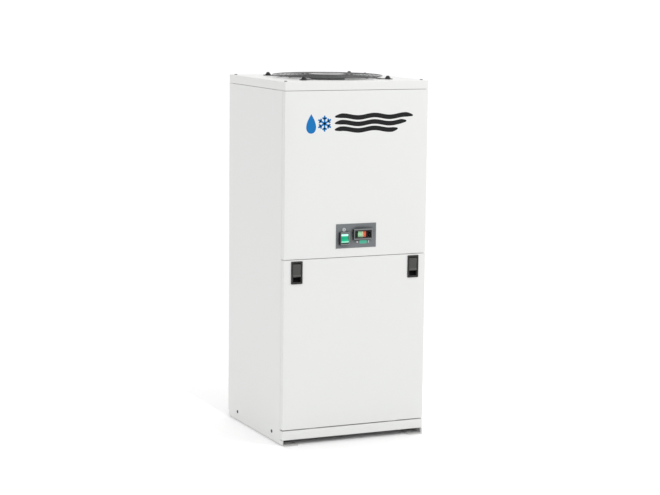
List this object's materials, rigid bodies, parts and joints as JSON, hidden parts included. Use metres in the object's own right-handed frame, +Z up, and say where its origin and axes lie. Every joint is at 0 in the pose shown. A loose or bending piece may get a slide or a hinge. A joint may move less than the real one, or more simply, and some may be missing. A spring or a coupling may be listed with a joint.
{
  "type": "refrigerated air dryer",
  "caption": "Tall sheet-metal cabinet dryer for compressed air: roof fan under a wire guard, grey plate with rocker switch and dew-point gauge, latched lower front panel, foot rails.",
  "frame": {"origin": "on the floor, at the centre of the four anchor slots and of the cabinet's footprint", "axes": "+Z up; the front with the switch faces -Y; the air ports face +Y; +X is to the right of someone facing the front"},
  "size_m": [0.393, 0.398, 0.9143],
  "materials": {
    "cabinet_white": "white powder coat, fine orange peel, satin",
    "galvanised": "zinc-coated sheet steel, faint spangle",
    "bright_screw": "zinc-plated steel screws",
    "dark_screw": "blackened steel screws",
    "plate_grey": "mid grey, satin",
    "black_plastic": "moulded black plastic, light texture",
    "rocker_green": "translucent green plastic",
    "dial_face": "dark dial with green, yellow and red bands",
    "pointer_red": "light painted needle",
    "clear_lens": "clear window",
    "copper": "drawn copper tube, slightly tarnished",
    "slide_grey": "moulded dark grey plastic",
    "guard_black": "black plastic-coated wire",
    "fan_black": "black coated sheet blades",
    "cast_motor": "dark cast housing",
    "fin_aluminium": "aluminium fins",
    "compressor_black": "gloss black enamel",
    "rubber_black": "soft black rubber",
    "foam_black": "closed-cell foam insulation",
    "brass": "machined brass",
    "lever_red": "red dipped handle",
    "tube_blue": "blue pneumatic tube",
    "lead_black": "black cable sheath"
  },
  "bodies": {
    "cabinet": {"base_rail_left": "galvanised", "base_rail_right": "galvanised", "rear_cross_rail": "galvanised", "base_pan": "galvanised", "kick_rail": "cabinet_white", "post_front_left": "galvanised", "post_front_right": "galvanised", "post_rear_left": "galvanised", "post_rear_right": "galvanised", "latch_cross_rail": "galvanised", "side_panel_left": "cabinet_white", "side_panel_right": "cabinet_white", "rear_panel": "cabinet_white", "front_upper_panel": "cabinet_white", "top_cover": "cabinet_white", "top_cover_screws": "bright_screw", "side_panel_screws": "dark_screw", "rear_panel_screws": "bright_screw", "control_plate": "plate_grey", "switch_body": "black_plastic", "gauge_housing": "black_plastic", "gauge_dial": "dial_face", "gauge_lens": "clear_lens", "gauge_capillary": "copper", "fan_guard": "guard_black", "fan_guard_screws": "dark_screw", "fan_stator": "cast_motor", "fan_ring": "galvanised", "condenser_shelf": "galvanised", "condenser_coil": "fin_aluminium", "condenser_bends": "copper", "compressor": "compressor_black", "compressor_cover": "black_plastic", "compressor_grommets": "rubber_black", "compressor_bolts": "bright_screw", "exchanger": "foam_black", "exchanger_bracket": "galvanised", "moisture_separator": "cast_motor", "ball_valve": "brass", "drain_valve": "black_plastic", "drain_tube": "tube_blue", "air_inlet_port": "brass", "air_outlet_port": "brass", "suction_line": "copper", "discharge_line": "copper", "liquid_line": "copper", "hot_gas_valve": "brass", "electrical_box": "plate_grey", "cable_gland": "black_plastic", "mains_lead": "lead_black"},
    "lower_panel": {"front_lower_panel": "cabinet_white", "latch_body_left": "black_plastic", "latch_body_right": "black_plastic"},
    "latch_left": {"latch_slide_left": "slide_grey"},
    "latch_right": {"latch_slide_right": "slide_grey"},
    "rocker": {"switch_rocker": "rocker_green"},
    "pointer": {"gauge_pointer": "pointer_red"},
    "fan": {"fan_impeller": "fan_black"},
    "drain_lever": {"ball_valve_lever": "lever_red"}
  },
  "joints": [
    {"name": "lower_panel_tilt", "type": "hinge", "parent": "cabinet", "child": "lower_panel", "pos_m": [0, -0.185, 0.0398], "axis": [1, 0, 0], "range_deg": [0, 30]},
    {"name": "latch_left_pull", "type": "slide", "parent": "lower_panel", "child": "latch_left", "axis": [0, 0, -1], "range_m": [-0.0028, 0.006]},
    {"name": "latch_right_pull", "type": "slide", "parent": "lower_panel", "child": "latch_right", "axis": [0, 0, -1], "range_m": [-0.0028, 0.006]},
    {"name": "switch_rock", "type": "hinge", "parent": "cabinet", "child": "rocker", "pos_m": [-0.0332, -0.1845, 0.5154], "axis": [1, 0, 0], "range_deg": [0, 16]},
    {"name": "pointer_sweep", "type": "hinge", "parent": "cabinet", "child": "pointer", "pos_m": [0.0168, -0.1885, 0.519], "axis": [0, -1, 0], "range_deg": [-55, 55]},
    {"name": "fan_spin", "type": "hinge", "parent": "cabinet", "child": "fan", "pos_m": [0, 0, 0.865], "axis": [0, 0, 1], "continuous": true},
    {"name": "drain_valve_turn", "type": "hinge", "parent": "cabinet", "child": "drain_lever", "pos_m": [-0.115, -0.004, 0.17], "axis": [0, 0, 1], "range_deg": [0, 90]}
  ]
}
